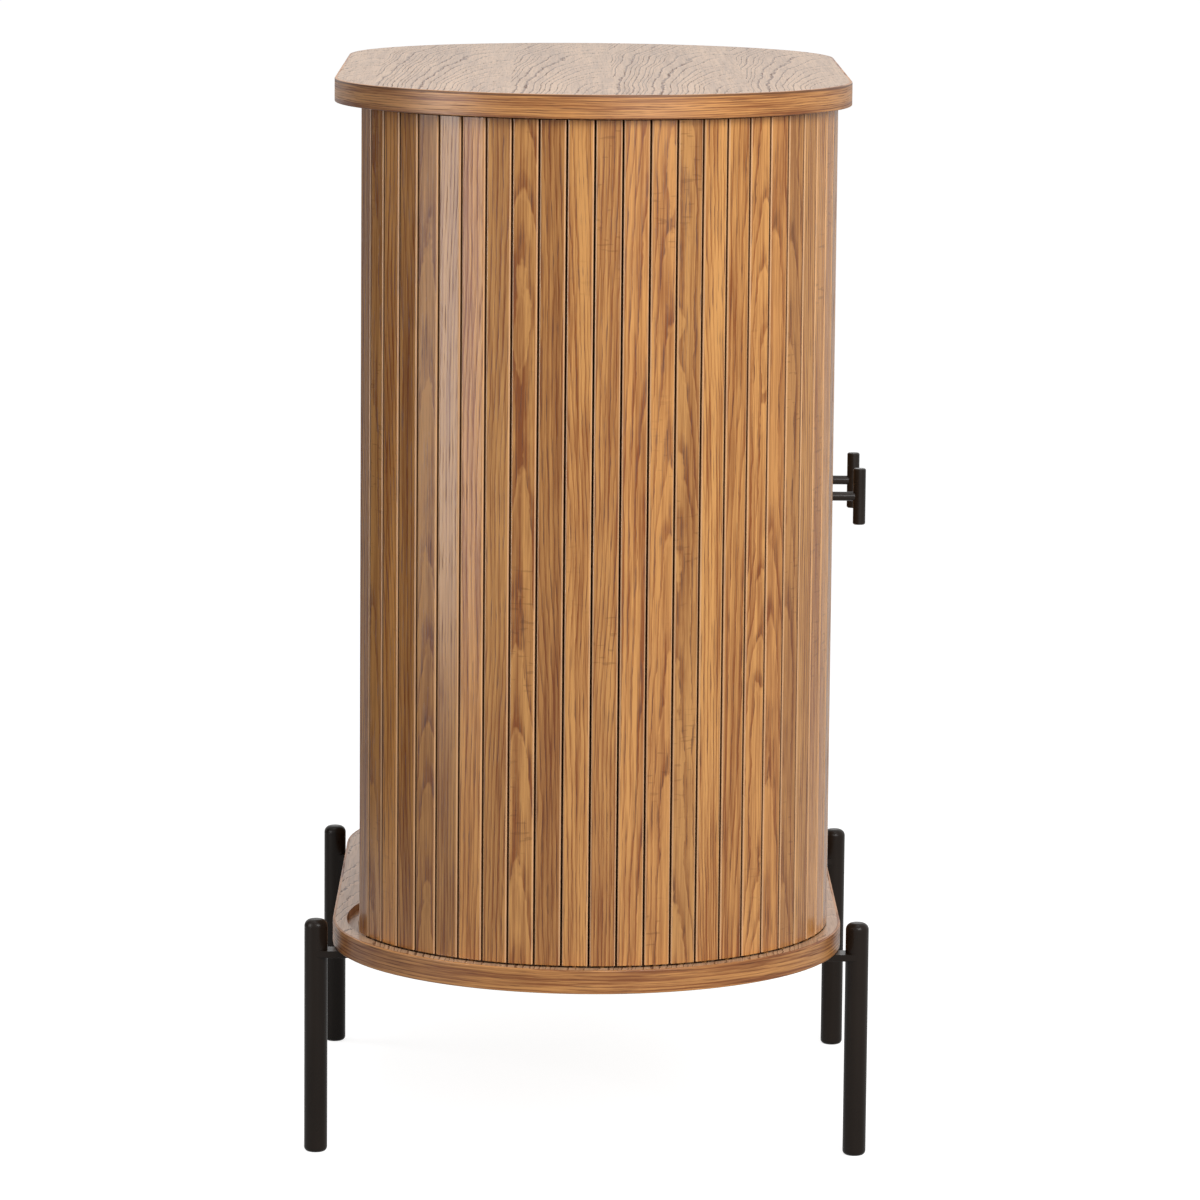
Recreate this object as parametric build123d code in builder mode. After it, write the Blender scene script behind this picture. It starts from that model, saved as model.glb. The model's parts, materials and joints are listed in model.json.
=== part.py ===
"""Tambour cabinet with rounded ends: construction model, millimetres.

Frame: origin on the floor under the middle of the plan, +Z up, the doors face -Y, and X runs
along the cabinet from the left end (-X) to the right end (+X), as seen from the front.
"""
import math
import os

from build123d import *

# driving sizes, boards
board_depth = 440.0
board_length = 790.0
board_thickness = 20.0
overall_height = 925.0
bottom_board_underside = 178.0
edging_thickness = 2.2
edging_arris = 0.9

# driving sizes, tambour doors
slat_setback = 12.0
slat_thickness = 10.0
slat_width = 21.6
slat_pitch = 22.0
slat_front_easing = 1.6
slat_back_chamfer = 0.5
slat_end_gap = 1.5
half_meeting_gap = 1.39
closed_cover_deg = 160.0
tenon_radius = 2.25
track_width = 10.0
track_depth = 6.0
tenon_floor_clearance = 0.2
tenon_roof_clearance = 1.0
canvas_thickness = 0.6
canvas_end_margin = 14.0
lead_felt_thickness = 1.0
lead_felt_width = 6.4
lead_felt_end_margin = 8.0

# driving sizes, track stops
stop_length_deg = 4.4
stop_fit_gap = 0.1
stop_pin_gap_deg = 0.25

# driving sizes, carcass
upright_thickness = 18.0
upright_past_centre = 65.0
upright_front_gap = 22.0
back_panel_thickness = 8.0
back_panel_track_gap = 1.0
back_screw_radius = 1.75
back_screw_head_radius = 3.6
back_screw_head_height = 2.2
back_screw_length = 24.0
back_screw_rows = 4
back_screw_end_margin = 23.5
screw_hole_gap = 0.1

# driving sizes, shelf
shelf_thickness = 18.0
shelf_side_gap = 0.5
shelf_back_gap = 0.5
shelf_front_setback = 5.0
pin_radius = 2.5
pin_depth = 9.0
pin_reach = 8.0
pin_fit_gap = 0.05
pin_hole_rows = 7
pin_hole_pitch = 32.0
pin_front_setback = 50.0

# driving sizes, legs
leg_radius = 10.0
leg_height = 204.5
leg_past_centre = 43.0
leg_board_gap = 3.0
leg_top_dome = 6.0
leg_foot_dome = 4.0
bar_width = 20.0
bar_thickness = 6.0
bar_edge_easing = 0.8
bar_screw_edge_margin = 45.0
bar_screw_spacing = 115.0
bar_screw_radius = 2.25
bar_screw_head_radius = 4.4
bar_screw_head_height = 2.8
bar_screw_length = 20.0

# driving sizes, knobs
knob_slat_index = 2
knob_height = 553.5
knob_bar_radius = 5.5
knob_bar_length = 49.5
knob_bar_offset = 29.5
knob_bar_chamfer = 0.9
knob_stem_radius = 4.0
knob_stem_socket = 1.5
knob_stem_fit_gap = 0.05
knob_stem_flare = 1.2
knob_screw_radius = 2.0
knob_screw_fit_gap = 0.1
knob_screw_head_radius = 4.0
knob_screw_head_height = 2.4
knob_screw_recess_depth = 3.0
knob_screw_recess_gap = 0.5
knob_screw_engagement = 9.0

# derived values
end_radius = board_depth / 2
centre_x = board_length / 2 - end_radius
bottom_board_top = bottom_board_underside + board_thickness
top_board_underside = overall_height - board_thickness
clear_height = top_board_underside - bottom_board_top
slat_face_radius = end_radius - slat_setback
slat_back_radius = slat_face_radius - slat_thickness
front_slats_per_door = math.floor((centre_x - half_meeting_gap) / slat_pitch + 0.5)
end_slats_per_door = math.floor(math.radians(closed_cover_deg) * slat_back_radius / slat_pitch + 0.5)
leg_x = centre_x + leg_past_centre
leg_y = end_radius + leg_board_gap + leg_radius
bar_screw_y_outer = end_radius - bar_screw_edge_margin
bar_screw_y_inner = bar_screw_y_outer - bar_screw_spacing
upright_outer_face = centre_x + upright_past_centre
upright_front_edge = upright_front_gap - slat_back_radius
track_radius = slat_face_radius - slat_thickness / 2
track_inner = track_radius - track_width / 2
track_outer = track_radius + track_width / 2
slat_bottom = bottom_board_top + slat_end_gap
slat_top = top_board_underside - slat_end_gap
slat_length = slat_top - slat_bottom
tenon_bottom = bottom_board_top - track_depth + tenon_floor_clearance
tenon_top = top_board_underside + track_depth - tenon_roof_clearance
door_travel = centre_x - half_meeting_gap - slat_pitch / 2
door_travel_deg = math.degrees(door_travel / slat_back_radius)
pitch_deg = math.degrees(slat_pitch / slat_back_radius)


def front_slat_centre(index):
    """Distance of a front slat's centre from the middle of the front."""
    return half_meeting_gap + slat_pitch * (index + 0.5)


def end_slat_angle(index):
    """Angle of an end slat's centre from the front tangent, in degrees."""
    place = half_meeting_gap + slat_pitch * (front_slats_per_door + index + 0.5)
    return math.degrees((place - centre_x) / slat_back_radius)


end_start_deg = end_slat_angle(0) - pitch_deg / 2
end_finish_deg = end_slat_angle(end_slats_per_door - 1) + pitch_deg / 2
last_pin_open_deg = end_slat_angle(end_slats_per_door - 1) + door_travel_deg
stop_start_deg = last_pin_open_deg + math.degrees(tenon_radius / track_radius) + stop_pin_gap_deg
track_finish_deg = stop_start_deg + stop_length_deg
track_reach = track_inner * math.cos(math.radians(max(track_finish_deg, 180) - 180))
back_panel_face = math.floor(track_reach - back_panel_track_gap)
upright_back_edge = back_panel_face - back_panel_thickness


def end_point(side, radius, angle):
    """Plan point at an angle from the front tangent; side is -1 for left, +1 for right."""
    turn = math.radians(angle)
    return (side * (centre_x + radius * math.sin(turn)), -radius * math.cos(turn))


def wedge_points(side, start, finish, reach):
    """Plan outline of a wedge with its tip on an end's centre."""
    steps = 6
    span = (finish - start) / steps
    rim = [end_point(side, reach, start + span * i) for i in range(steps + 1)]
    return [(side * centre_x, 0.0)] + rim


# slat outline, drawn with its back face centre at the origin and its front towards -Y
with BuildSketch() as slat_outline:
    with Locations((0, -slat_thickness / 2)):
        Rectangle(slat_width, slat_thickness)
    fillet(slat_outline.vertices().group_by(Axis.Y)[0], radius=slat_front_easing)
    chamfer(slat_outline.vertices().group_by(Axis.Y)[-1], length=slat_back_chamfer)


def front_slat_place(side, index):
    """Where the outline of a front slat goes."""
    return Location((side * front_slat_centre(index), -slat_back_radius))


def end_slat_place(side, index):
    """Where the outline of an end slat goes, turned to face outwards."""
    angle = end_slat_angle(index)
    x, y = end_point(side, slat_back_radius, angle)
    return Location((x, y), side * angle)


def tenon_place(side, index):
    """Centre of the round tenon of an end slat."""
    return Location(end_point(side, track_radius, end_slat_angle(index)))


# track sketch, shared by both boards
with BuildSketch() as track:
    with Locations((0, -track_radius)):
        Rectangle(2 * centre_x, track_width)
    for side in (-1, 1):
        with BuildSketch(mode=Mode.PRIVATE) as end_track:
            with Locations((side * centre_x, 0)):
                Circle(track_outer)
                Circle(track_inner, mode=Mode.SUBTRACT)
            with BuildLine():
                Polyline(wedge_points(side, track_finish_deg, 360, 3 * track_outer), close=True)
            make_face(mode=Mode.SUBTRACT)
        add(end_track.sketch)

# top board
with BuildPart() as top_panel:
    with BuildSketch(Plane.XY.offset(top_board_underside)):
        SlotCenterToCenter(2 * centre_x, 2 * (end_radius - edging_thickness))
    extrude(amount=board_thickness)
    with BuildSketch(Plane.XY.offset(top_board_underside)):
        add(track.sketch)
    extrude(amount=track_depth, mode=Mode.SUBTRACT)

with BuildPart() as top_edging:
    with BuildSketch(Plane.XY.offset(top_board_underside)):
        SlotCenterToCenter(2 * centre_x, 2 * end_radius)
    extrude(amount=board_thickness)
    top_rims = top_edging.edges().group_by(Axis.Z)
    fillet(top_rims[0] + top_rims[-1], radius=edging_arris)
    with BuildSketch(Plane.XY.offset(top_board_underside)):
        SlotCenterToCenter(2 * centre_x, 2 * (end_radius - edging_thickness))
    extrude(amount=board_thickness, mode=Mode.SUBTRACT)

# bottom board, with pilot holes for the leg bars
bar_screw_ys = (-bar_screw_y_outer, -bar_screw_y_inner, bar_screw_y_inner, bar_screw_y_outer)
bar_screw_places = [(side * leg_x, y) for side in (-1, 1) for y in bar_screw_ys]
bar_underside = bottom_board_underside - bar_thickness
with BuildPart() as bottom_panel:
    with BuildSketch(Plane.XY.offset(bottom_board_underside)):
        SlotCenterToCenter(2 * centre_x, 2 * (end_radius - edging_thickness))
    extrude(amount=board_thickness)
    with BuildSketch(Plane.XY.offset(bottom_board_top)):
        add(track.sketch)
    extrude(amount=-track_depth, mode=Mode.SUBTRACT)
    with BuildSketch(Plane.XY.offset(bottom_board_underside)):
        with Locations(*bar_screw_places):
            Circle(bar_screw_radius + screw_hole_gap)
    extrude(amount=bar_screw_length - bar_thickness + screw_hole_gap, mode=Mode.SUBTRACT)

with BuildPart() as bottom_edging:
    with BuildSketch(Plane.XY.offset(bottom_board_underside)):
        SlotCenterToCenter(2 * centre_x, 2 * end_radius)
    extrude(amount=board_thickness)
    bottom_rims = bottom_edging.edges().group_by(Axis.Z)
    fillet(bottom_rims[0] + bottom_rims[-1], radius=edging_arris)
    with BuildSketch(Plane.XY.offset(bottom_board_underside)):
        SlotCenterToCenter(2 * centre_x, 2 * (end_radius - edging_thickness))
    extrude(amount=board_thickness, mode=Mode.SUBTRACT)

top_panel.part.label = "top_panel"
top_edging.part.label = "top_edging"
bottom_panel.part.label = "bottom_panel"
bottom_edging.part.label = "bottom_edging"

# uprights: rows of shelf pin holes inside, pilot holes for the back screws behind
upright_inner_face = upright_outer_face - upright_thickness
upright_depth = upright_back_edge - upright_front_edge
upright_mid_y = (upright_back_edge + upright_front_edge) / 2
upright_mid_x = upright_outer_face - upright_thickness / 2
mid_z = (bottom_board_top + top_board_underside) / 2
shelf_underside = mid_z - shelf_thickness / 2
pin_z = shelf_underside - pin_radius
pin_hole_mid_z = pin_z
pin_spacing_y = upright_depth - 2 * pin_front_setback
back_screw_row_pitch = (clear_height - 2 * back_screw_end_margin) / (back_screw_rows - 1)
back_screw_places = [
    (side * upright_mid_x, mid_z + back_screw_row_pitch * (row - (back_screw_rows - 1) / 2))
    for side in (-1, 1)
    for row in range(back_screw_rows)
]


def make_upright(side, label):
    """One upright, with its pin holes opening towards the middle."""
    inner = side * upright_inner_face
    with BuildPart() as upright:
        with Locations((side * upright_mid_x, upright_mid_y, mid_z)):
            Box(upright_thickness, upright_depth, clear_height)
        with BuildSketch(Plane(origin=(inner, upright_mid_y, pin_hole_mid_z), x_dir=(0, 1, 0), z_dir=(side, 0, 0))):
            with GridLocations(pin_spacing_y, pin_hole_pitch, 2, pin_hole_rows):
                Circle(pin_radius + pin_fit_gap)
        extrude(amount=pin_depth + pin_fit_gap, mode=Mode.SUBTRACT)
        with BuildSketch(Plane(origin=(0, upright_back_edge, 0), x_dir=(1, 0, 0), z_dir=(0, -1, 0))):
            for x, z in back_screw_places:
                if x * side > 0:
                    with Locations((x, z)):
                        Circle(back_screw_radius + screw_hole_gap)
        extrude(amount=back_screw_length - back_panel_thickness + screw_hole_gap, mode=Mode.SUBTRACT)
    upright.part.label = label
    return upright.part


left_upright = make_upright(-1, "left_upright")
right_upright = make_upright(1, "right_upright")

# back panel, set inside the tracks, and its screws
back_face = upright_back_edge + back_panel_thickness
with BuildPart() as back_panel:
    with Locations((0, upright_back_edge + back_panel_thickness / 2, mid_z)):
        Box(2 * upright_outer_face, back_panel_thickness, clear_height)
    with BuildSketch(Plane(origin=(0, back_face, 0), x_dir=(1, 0, 0), z_dir=(0, -1, 0))):
        with Locations(*back_screw_places):
            Circle(back_screw_radius + screw_hole_gap)
    extrude(amount=back_panel_thickness, mode=Mode.SUBTRACT)
back_panel.part.label = "back_panel"

with BuildPart() as back_screws:
    with BuildSketch(Plane(origin=(0, back_face, 0), x_dir=(1, 0, 0), z_dir=(0, -1, 0))):
        with Locations(*back_screw_places):
            Circle(back_screw_radius)
    extrude(amount=back_screw_length)
    with BuildSketch(Plane(origin=(0, back_face, 0), x_dir=(-1, 0, 0), z_dir=(0, 1, 0))):
        with Locations(*[(-x, z) for x, z in back_screw_places]):
            Circle(back_screw_head_radius)
    extrude(amount=back_screw_head_height)
    head_rims = back_screws.edges().filter_by(GeomType.CIRCLE).group_by(Axis.Y)[-1]
    fillet(head_rims, radius=back_screw_head_height * 0.45)
back_screws.part.label = "back_screws"

# shelf and its pins
shelf_front = upright_front_edge + shelf_front_setback
shelf_back = upright_back_edge - shelf_back_gap
with BuildPart() as shelf:
    with Locations((0, (shelf_front + shelf_back) / 2, mid_z)):
        Box(2 * (upright_inner_face - shelf_side_gap), shelf_back - shelf_front, shelf_thickness)
    fillet(shelf.edges().filter_by(Axis.X).group_by(Axis.Y)[0], radius=1.0)
shelf.part.label = "shelf"

with BuildPart() as shelf_pins:
    for side in (-1, 1):
        wall = side * upright_inner_face
        with BuildSketch(Plane(origin=(wall, upright_mid_y, pin_z), x_dir=(0, 1, 0), z_dir=(side, 0, 0))):
            with GridLocations(pin_spacing_y, 1, 2, 1):
                Circle(pin_radius)
        extrude(amount=pin_depth)
        with BuildSketch(Plane(origin=(wall, upright_mid_y, pin_z), x_dir=(0, 1, 0), z_dir=(-side, 0, 0))):
            with GridLocations(pin_spacing_y, 1, 2, 1):
                Circle(pin_radius)
        extrude(amount=pin_reach)
shelf_pins.part.label = "shelf_pins"

# legs: round rods just outside the straight edges of the boards
leg_names = {
    "leg_front_left": (-1, -1),
    "leg_front_right": (1, -1),
    "leg_back_left": (-1, 1),
    "leg_back_right": (1, 1),
}
leg_parts = {}
for leg_name, (leg_side, leg_face) in leg_names.items():
    with BuildPart() as leg:
        with BuildSketch():
            with Locations((leg_side * leg_x, leg_face * leg_y)):
                Circle(leg_radius)
        extrude(amount=leg_height)
        fillet(leg.edges().group_by(Axis.Z)[-1], radius=leg_top_dome)
        fillet(leg.edges().group_by(Axis.Z)[0], radius=leg_foot_dome)
    leg.part.label = leg_name
    leg_parts[leg_name] = leg.part


def make_leg_bar(side, label):
    """Flat bar under the bottom board, coped round the leg at each end."""
    with BuildPart() as bar:
        with Locations((side * leg_x, 0, bottom_board_underside - bar_thickness / 2)):
            Box(bar_width, 2 * leg_y, bar_thickness)
        fillet(bar.edges().filter_by(Axis.Y).group_by(Axis.Z)[0], radius=bar_edge_easing)
        with BuildSketch(Plane.XY.offset(bar_underside)):
            with Locations((side * leg_x, -leg_y), (side * leg_x, leg_y)):
                Circle(leg_radius)
            with Locations(*[(side * leg_x, y) for y in bar_screw_ys]):
                Circle(bar_screw_radius + screw_hole_gap)
        extrude(amount=bar_thickness, mode=Mode.SUBTRACT)
    bar.part.label = label
    return bar.part


def make_bar_screws(side, label):
    """The four screws of one bar, driven up into the board."""
    with BuildPart() as screws:
        with BuildSketch(Plane.XY.offset(bar_underside)):
            with Locations(*[(side * leg_x, y) for y in bar_screw_ys]):
                Circle(bar_screw_radius)
        extrude(amount=bar_screw_length)
        with BuildSketch(Plane.XY.offset(bar_underside)):
            with Locations(*[(side * leg_x, y) for y in bar_screw_ys]):
                Circle(bar_screw_head_radius)
        extrude(amount=-bar_screw_head_height)
        fillet(screws.edges().group_by(Axis.Z)[0], radius=bar_screw_head_height * 0.6)
    screws.part.label = label
    return screws.part


left_leg_bar = make_leg_bar(-1, "left_leg_bar")
right_leg_bar = make_leg_bar(1, "right_leg_bar")
left_bar_screws = make_bar_screws(-1, "left_bar_screws")
right_bar_screws = make_bar_screws(1, "right_bar_screws")

# knobs: an upright bar on a stem, held by a screw through the third slat from the middle
slat_face = -slat_face_radius
knob_bar_y = slat_face - knob_bar_offset
stem_end = knob_bar_y + knob_bar_radius - knob_stem_socket
recess_radius = knob_screw_head_radius + knob_screw_recess_gap
screw_seat = -slat_back_radius - knob_screw_recess_depth


def knob_plane(side, y):
    """Plane across the knob's axis, facing forwards."""
    x = side * front_slat_centre(knob_slat_index)
    return Plane(origin=(x, y, knob_height), x_dir=(1, 0, 0), z_dir=(0, -1, 0))


def make_knob_bar(side, label):
    """Upright knob bar with a socket for its stem."""
    x = side * front_slat_centre(knob_slat_index)
    with BuildPart() as bar:
        with BuildSketch(Plane.XY.offset(knob_height - knob_bar_length / 2)):
            with Locations((x, knob_bar_y)):
                Circle(knob_bar_radius)
        extrude(amount=knob_bar_length)
        chamfer(bar.edges(), length=knob_bar_chamfer)
        with BuildSketch(knob_plane(side, knob_bar_y + knob_bar_radius)):
            Circle(knob_stem_radius + knob_stem_fit_gap)
        extrude(amount=knob_stem_socket, mode=Mode.SUBTRACT)
    bar.part.label = label
    return bar.part


def make_knob_stem(side, label):
    """Stem between the slat's face and the bar, flared where it meets the face."""
    with BuildPart() as stem:
        with BuildSketch(knob_plane(side, slat_face)):
            Circle(knob_stem_radius)
        extrude(amount=slat_face - stem_end)
        with BuildSketch(knob_plane(side, slat_face)):
            Circle(knob_stem_radius + knob_stem_flare)
        extrude(amount=knob_stem_flare)
        chamfer(stem.edges().filter_by(GeomType.CIRCLE).sort_by(Axis.Y)[-2], length=0.5)
        with BuildSketch(knob_plane(side, slat_face)):
            Circle(knob_screw_radius + knob_screw_fit_gap)
        extrude(amount=knob_screw_engagement + 1.0, mode=Mode.SUBTRACT)
    stem.part.label = label
    return stem.part


def make_knob_screw(side, label):
    """Screw from behind the slat, its head sunk in the slat's back."""
    with BuildPart() as screw:
        with BuildSketch(knob_plane(side, screw_seat)):
            Circle(knob_screw_radius)
        extrude(amount=slat_thickness - knob_screw_recess_depth + knob_screw_engagement)
        with BuildSketch(knob_plane(side, screw_seat)):
            Circle(knob_screw_head_radius)
        extrude(amount=-knob_screw_head_height)
    screw.part.label = label
    return screw.part


def make_front_slat(side, index, label):
    """One front slat with a round tenon at each end."""
    with BuildPart() as slat:
        with BuildSketch(Plane.XY.offset(slat_bottom)):
            with Locations(front_slat_place(side, index)):
                add(slat_outline.sketch)
        extrude(amount=slat_length)
        with BuildSketch(Plane.XY.offset(tenon_bottom)):
            with Locations((side * front_slat_centre(index), -track_radius)):
                Circle(tenon_radius)
        extrude(amount=tenon_top - tenon_bottom)
        if index == knob_slat_index:
            with BuildSketch(knob_plane(side, -slat_back_radius)):
                Circle(knob_screw_radius + knob_screw_fit_gap)
            extrude(amount=slat_thickness, mode=Mode.SUBTRACT)
            with BuildSketch(knob_plane(side, -slat_back_radius)):
                Circle(recess_radius)
            extrude(amount=knob_screw_recess_depth, mode=Mode.SUBTRACT)
    slat.part.label = label
    return slat.part


def make_end_slats(side, label):
    """The slats that stand round one end when the door is closed."""
    with BuildPart() as slats:
        with BuildSketch(Plane.XY.offset(slat_bottom)):
            with Locations(*[end_slat_place(side, i) for i in range(end_slats_per_door)]):
                add(slat_outline.sketch)
        extrude(amount=slat_length)
        with BuildSketch(Plane.XY.offset(tenon_bottom)):
            with Locations(*[tenon_place(side, i) for i in range(end_slats_per_door)]):
                Circle(tenon_radius)
        extrude(amount=tenon_top - tenon_bottom)
    slats.part.label = label
    return slats.part


def make_canvas(side, label):
    """Canvas glued behind the end slats."""
    with BuildPart() as canvas:
        with BuildSketch(Plane.XY.offset(slat_bottom + canvas_end_margin)):
            with Locations((side * centre_x, 0)):
                Circle(slat_back_radius)
                Circle(slat_back_radius - canvas_thickness, mode=Mode.SUBTRACT)
            with BuildLine():
                keep = wedge_points(side, end_start_deg + 0.1, end_finish_deg - 0.1, 2 * slat_back_radius)
                Polyline(keep, close=True)
            make_face(mode=Mode.INTERSECT)
        extrude(amount=slat_length - 2 * canvas_end_margin)
    canvas.part.label = label
    return canvas.part


def make_lead_felt(side, label):
    """Felt strip on the meeting edge of the first slat."""
    edge = front_slat_centre(0) - slat_width / 2
    with BuildPart() as felt:
        with Locations((side * (edge - lead_felt_thickness / 2), -track_radius, mid_z)):
            Box(lead_felt_thickness, lead_felt_width, slat_length - 2 * lead_felt_end_margin)
    felt.part.label = label
    return felt.part


def make_track_stops(side, label):
    """Plugs in the back ends of the two tracks, where the last tenon stops."""
    with BuildPart() as stops:
        for floor in (bottom_board_top - track_depth, top_board_underside):
            with BuildSketch(Plane.XY.offset(floor)):
                with Locations((side * centre_x, 0)):
                    Circle(track_outer - stop_fit_gap)
                    Circle(track_inner + stop_fit_gap, mode=Mode.SUBTRACT)
                with BuildLine():
                    Polyline(
                        wedge_points(side, stop_start_deg, track_finish_deg - 0.03, 2 * track_outer),
                        close=True,
                    )
                make_face(mode=Mode.INTERSECT)
            extrude(amount=track_depth)
    stops.part.label = label
    return stops.part


os.makedirs("parts", exist_ok=True)
export_step(top_panel.part, "parts/top_panel.step")
export_step(top_edging.part, "parts/top_edging.step")
export_step(bottom_panel.part, "parts/bottom_panel.step")
export_step(bottom_edging.part, "parts/bottom_edging.step")
export_step(back_panel.part, "parts/back_panel.step")
export_step(back_screws.part, "parts/back_screws.step")
export_step(left_upright, "parts/left_upright.step")
export_step(right_upright, "parts/right_upright.step")
export_step(shelf.part, "parts/shelf.step")
export_step(shelf_pins.part, "parts/shelf_pins.step")
for leg_name, leg_part in leg_parts.items():
    export_step(leg_part, f"parts/{leg_name}.step")
export_step(left_leg_bar, "parts/left_leg_bar.step")
export_step(right_leg_bar, "parts/right_leg_bar.step")
export_step(left_bar_screws, "parts/left_bar_screws.step")
export_step(right_bar_screws, "parts/right_bar_screws.step")

for hand, side in (("left", -1), ("right", 1)):
    for i in range(front_slats_per_door):
        name = f"{hand}_slat_{i + 1}"
        export_step(make_front_slat(side, i, name), f"parts/{name}.step")
    export_step(make_end_slats(side, f"{hand}_end_slats"), f"parts/{hand}_end_slats.step")
    export_step(make_canvas(side, f"{hand}_canvas"), f"parts/{hand}_canvas.step")
    export_step(make_lead_felt(side, f"{hand}_lead_felt"), f"parts/{hand}_lead_felt.step")
    export_step(make_knob_bar(side, f"{hand}_knob_bar"), f"parts/{hand}_knob_bar.step")
    export_step(make_knob_stem(side, f"{hand}_knob_stem"), f"parts/{hand}_knob_stem.step")
    export_step(make_knob_screw(side, f"{hand}_knob_screw"), f"parts/{hand}_knob_screw.step")
    export_step(make_track_stops(side, f"{hand}_track_stops"), f"parts/{hand}_track_stops.step")
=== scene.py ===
"""Looks of a tambour cabinet with rounded ends, built round its packed construction model.

Everything is in metres in the model's own frame: the origin is on the floor under the middle of
the plan, +Z is up, the doors face -Y and X runs along the cabinet from its left end to its right.
"""
import json
import math

import bmesh
import bpy
from bpy.props import FloatProperty, FloatVectorProperty, PointerProperty
from bpy.types import Operator, Panel, PropertyGroup
from mathutils import Matrix, Vector


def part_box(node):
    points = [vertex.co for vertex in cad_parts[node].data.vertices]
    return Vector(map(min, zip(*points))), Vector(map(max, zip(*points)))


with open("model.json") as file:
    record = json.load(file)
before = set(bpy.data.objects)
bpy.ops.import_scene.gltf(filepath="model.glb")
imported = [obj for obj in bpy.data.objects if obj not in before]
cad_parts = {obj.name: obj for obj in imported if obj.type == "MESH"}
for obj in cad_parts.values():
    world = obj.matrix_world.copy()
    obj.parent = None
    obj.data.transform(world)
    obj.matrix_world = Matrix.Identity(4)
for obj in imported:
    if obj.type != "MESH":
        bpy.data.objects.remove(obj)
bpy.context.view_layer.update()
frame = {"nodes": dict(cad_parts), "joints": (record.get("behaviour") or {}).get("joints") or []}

bl_info = {
    "name": "Tambour Cabinet",
    "version": (1, 0, 0),
    "blender": (4, 5, 0),
    "location": "View3D > Sidebar > Cabinet",
    "description": "Finishes, small fittings, studio and camera for a tambour cabinet",
    "category": "Object",
}

SIDES = ("left", "right")
FRONT_SLATS = range(1, 9)
MILLIMETRE = 0.001

# plan of the doors, read from the frame
first_slat_low, first_slat_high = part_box("left_slat_1")
second_slat_low, second_slat_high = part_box("left_slat_2")
END_CENTRE = abs(frame["joints"][0]["pos_m"][0])
SLAT_BACK = -second_slat_high.y
SLAT_FACE = -second_slat_low.y
SLAT_PITCH = (first_slat_low.x + first_slat_high.x - second_slat_low.x - second_slat_high.x) / 2
SLAT_WIDTH = second_slat_high.x - second_slat_low.x
MEETING_GAP = -(first_slat_low.x + first_slat_high.x + SLAT_PITCH) / 2
TOP_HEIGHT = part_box("top_panel")[1].z

# seeds that give each kind of board its own wood
RIGHT_DOOR_SEED = 40.0
VENEER_SEED = 100.0
EDGING_SEED = 207.0
UPRIGHT_SEED = 300.0
BACK_SEED = 330.0
SHELF_SEED = 360.0
STOP_SEED = 390.0

# a seed's step to its second draw, and how far in metres a draw moves a board through the pattern
SECOND_DRAW = 271.3
BOARD_SHIFT = 7.0

# waves per metre of the grain's noises, in the directions across, into and along a board
SLOW_BEND = (3.0, 3.0, 2.6)
SLOW_SINK = (5.0, 5.0, 3.4)
QUICK_BEND = (70.0, 70.0, 24.0)
RAGGED_EDGE = (330.0, 330.0, 150.0)
FIBRE = (560.0, 560.0, 16.0)
BAND = (170.0, 170.0, 4.0)
MOTTLE = (26.0, 26.0, 3.0)
PORE = (900.0, 900.0, 34.0)
RAY_MARK = (75.0, 75.0, 330.0)
RAY_PATCH = (9.0, 9.0, 9.0)

# waves per metre, outwards from the heart, of the change in growth from year to year
YEARLY_CHANGE = 55.0

# where the pale late wood lies between one ring line and the next, and half its width
LATE_WOOD = 0.86
LATE_HALF_WIDTH = 0.08


def tone(red, green, blue):
    """Linear colour of a tone written as screen values from 0 to 255."""
    parts = [value / 255 for value in (red, green, blue)]
    return tuple(p / 12.92 if p <= 0.04045 else ((p + 0.055) / 1.055) ** 2.4 for p in parts)


def opaque(colour):
    """Colour with full alpha."""
    return (*colour[:3], 1.0)


def colour_property(name, description, default):
    """Colour property with an opaque default."""
    return FloatVectorProperty(
        name=name, description=description, default=default, subtype="COLOR", size=3, min=0, max=1
    )


def share_property(name, description, default, top=1.0):
    """Plain number from 0 to a top value."""
    return FloatProperty(name=name, description=description, default=default, min=0, max=top)


def length_property(name, description, default):
    """Length in metres."""
    return FloatProperty(
        name=name, description=description, default=default, min=0, subtype="DISTANCE", unit="LENGTH"
    )


def angle_property(name, description, default):
    """Angle in radians."""
    return FloatProperty(
        name=name, description=description, default=default, subtype="ANGLE", unit="ROTATION"
    )


class SlatFinish(PropertyGroup):
    """Lacquered solid oak of the door slats."""

    light: colour_property("Light wood", "Colour of the late wood", tone(206, 147, 84))
    deep: colour_property("Deep wood", "Colour of the early wood", tone(132, 72, 29))
    pore: colour_property("Pores", "Colour inside the pores", tone(78, 38, 14))
    ring_spacing: length_property("Ring spacing", "Width of one year's growth", 0.0024)
    pith_distance: length_property("Pith distance", "How far the heart lies behind the face", 0.045)
    wander: length_property("Wander", "How far the rings stray from straight", 0.007)
    batch: share_property("Batch", "Number that picks the boards the slats are cut from", 2376.0, 9999)
    tone_spread: share_property("Tone spread", "How much the slats differ in tone", 0.36)
    fleck: share_property("Ray fleck", "Strength of the ray marks on a few slats", 0.5)
    # Partly wear and partly a painted highlight: the eased slat edges are made paler, also standing in
    # for the light the rounded edges catch.
    rubbed_and_highlit: colour_property("Rubbed and highlit edges", "Colour the edges wear to", tone(236, 190, 144))
    edge_wear_and_highlight: share_property("Edge wear and highlight", "How much paler the rubbed edges are", 0.6)
    # Painted shade: the colour that the sides of the slats down in the gaps are darkened to, in place
    # of the shade between the slats.
    gap_shade: colour_property("Gap shade", "Colour of the sides between the slats", tone(66, 26, 12))
    roughness: share_property("Roughness", "Roughness of the lacquer", 0.21)
    relief: share_property("Relief", "Strength of the open grain", 0.3)


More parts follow.
